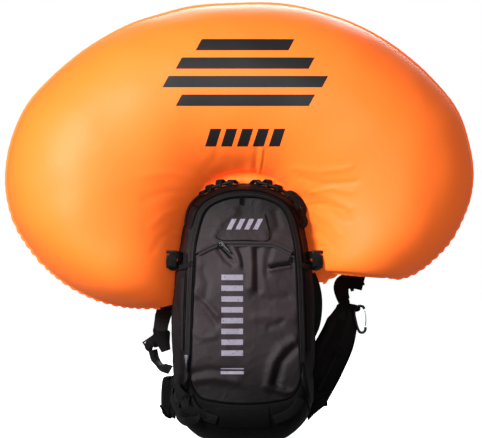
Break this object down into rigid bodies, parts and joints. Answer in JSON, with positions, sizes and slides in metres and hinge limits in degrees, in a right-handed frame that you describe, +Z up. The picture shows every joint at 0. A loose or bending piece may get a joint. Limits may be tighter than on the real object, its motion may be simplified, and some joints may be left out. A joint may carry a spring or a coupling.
{
  "type": "avalanche airbag backpack",
  "caption": "Ski touring backpack with an inflated avalanche airbag, electric fan inflation system, trigger handle, padded harness, hip belt and gear carabiner.",
  "frame": {"origin": "centre of the flat base face that the pack stands on", "axes": "+Z up; the pack's outer front faces -Y; the wearer stands on the +Y side facing +Y, so +X is the wearer's right"},
  "size_m": [1.0661, 0.4212, 0.997],
  "materials": {
    "airbag_fabric": "satin",
    "pack_fabric": "matte",
    "webbing": "matte",
    "padding": "matte",
    "zip_tape": "satin",
    "zip_metal": "satin",
    "buckle_plastic": "satin",
    "frame_plastic": "satin",
    "stay_aluminium": "satin",
    "carabiner_black": "satin",
    "gate_steel": "polished",
    "signal_red": "satin",
    "cable_sheath": "satin",
    "machine_plastic": "satin",
    "motor_steel": "satin",
    "capacitor_sleeve": "gloss"
  },
  "bodies": {
    "pack": {"airbag_front_panel": "airbag_fabric", "airbag_rear_panel": "airbag_fabric", "airbag_collar": "airbag_fabric", "outlet_duct": "airbag_fabric", "front_panel": "pack_fabric", "goggle_pocket": "pack_fabric", "top_hood": "pack_fabric", "base_panel": "pack_fabric", "base_patch": "pack_fabric", "side_panel_left": "pack_fabric", "side_panel_right": "pack_fabric", "shoulder_webbing_left": "webbing", "shoulder_webbing_right": "webbing", "load_lifter_left": "webbing", "load_lifter_right": "webbing", "compression_strap_left": "webbing", "compression_strap_right": "webbing", "hood_strap_left": "webbing", "hood_strap_right": "webbing", "base_strap_left": "webbing", "back_panel": "padding", "lumbar_pad": "padding", "shoulder_strap_left": "padding", "shoulder_strap_right": "padding", "main_zip": "zip_tape", "goggle_zip": "zip_tape", "strap_adjuster_left": "buckle_plastic", "strap_adjuster_right": "buckle_plastic", "compression_hook_left": "buckle_plastic", "compression_hook_right": "buckle_plastic", "hood_buckle_left": "buckle_plastic", "hood_buckle_right": "buckle_plastic", "trigger_holster": "buckle_plastic", "frame_sheet": "frame_plastic", "frame_stay_left": "stay_aluminium", "frame_stay_right": "stay_aluminium", "trigger_cable": "cable_sheath", "compressor_housing": "machine_plastic", "intake_grille": "machine_plastic", "electronics_case": "machine_plastic", "fan_motor": "motor_steel", "capacitor_pack": "capacitor_sleeve"},
    "main_slider": {"main_zip_slider": "zip_metal"},
    "goggle_slider": {"goggle_zip_slider": "zip_metal"},
    "handle": {"trigger_handle": "signal_red"},
    "rotor": {"impeller": "machine_plastic"},
    "button": {"power_button": "signal_red"},
    "cover": {"battery_cover": "machine_plastic"},
    "right_wing": {"hip_wing_right": "padding", "hip_webbing_right": "webbing", "hip_buckle_tongue": "buckle_plastic", "carabiner_frame": "carabiner_black"},
    "gate": {"carabiner_gate": "gate_steel"},
    "left_wing": {"hip_wing_left": "padding", "hip_webbing_left": "webbing", "hip_buckle_socket": "buckle_plastic"},
    "sternum": {"sternum_strap_left": "webbing", "sternum_strap_right": "webbing", "sternum_buckle": "buckle_plastic"},
    "loop": {"haul_loop": "webbing"}
  },
  "joints": [
    {"name": "main_zip_run", "type": "slide", "parent": "pack", "child": "main_slider", "axis": [0.0255, -0.005, 0.9997], "range_m": [0, 0.18]},
    {"name": "goggle_zip_run", "type": "slide", "parent": "pack", "child": "goggle_slider", "axis": [1, 0, 0], "range_m": [0, 0.104]},
    {"name": "trigger_pull", "type": "slide", "parent": "pack", "child": "handle", "axis": [0, 0, -1], "range_m": [0, 0.035]},
    {"name": "impeller_spin", "type": "hinge", "parent": "pack", "child": "rotor", "pos_m": [0.03, 0.01, 0.462], "axis": [0, 1, 0], "continuous": true},
    {"name": "power_press", "type": "slide", "parent": "pack", "child": "button", "axis": [0, 1, 0], "range_m": [0, 0.0015], "stiffness_N_per_m": 300},
    {"name": "battery_cover_open", "type": "hinge", "parent": "pack", "child": "cover", "pos_m": [0.054, -0.002, 0.317], "axis": [1, 0, 0], "range_deg": [0, 100]},
    {"name": "right_wing_swing", "type": "hinge", "parent": "pack", "child": "right_wing", "pos_m": [0.148, 0.087, 0.1], "axis": [0, 0, 1], "range_deg": [0, 80]},
    {"name": "carabiner_gate_open", "type": "hinge", "parent": "right_wing", "child": "gate", "pos_m": [0.2845, 0.073, 0.256], "axis": [0, -1, 0], "range_deg": [0, 25], "stiffness_Nm_per_rad": 0.02},
    {"name": "left_wing_swing", "type": "hinge", "parent": "pack", "child": "left_wing", "pos_m": [-0.148, 0.087, 0.1], "axis": [0, 0, 1], "range_deg": [-12, 50]},
    {"name": "sternum_height", "type": "slide", "parent": "pack", "child": "sternum", "axis": [0, 0, 1], "range_m": [-0.02, 0.02]},
    {"name": "haul_loop_fold", "type": "hinge", "parent": "pack", "child": "loop", "pos_m": [0, 0.0765, 0.566], "axis": [1, 0, 0], "range_deg": [-60, 30]}
  ]
}
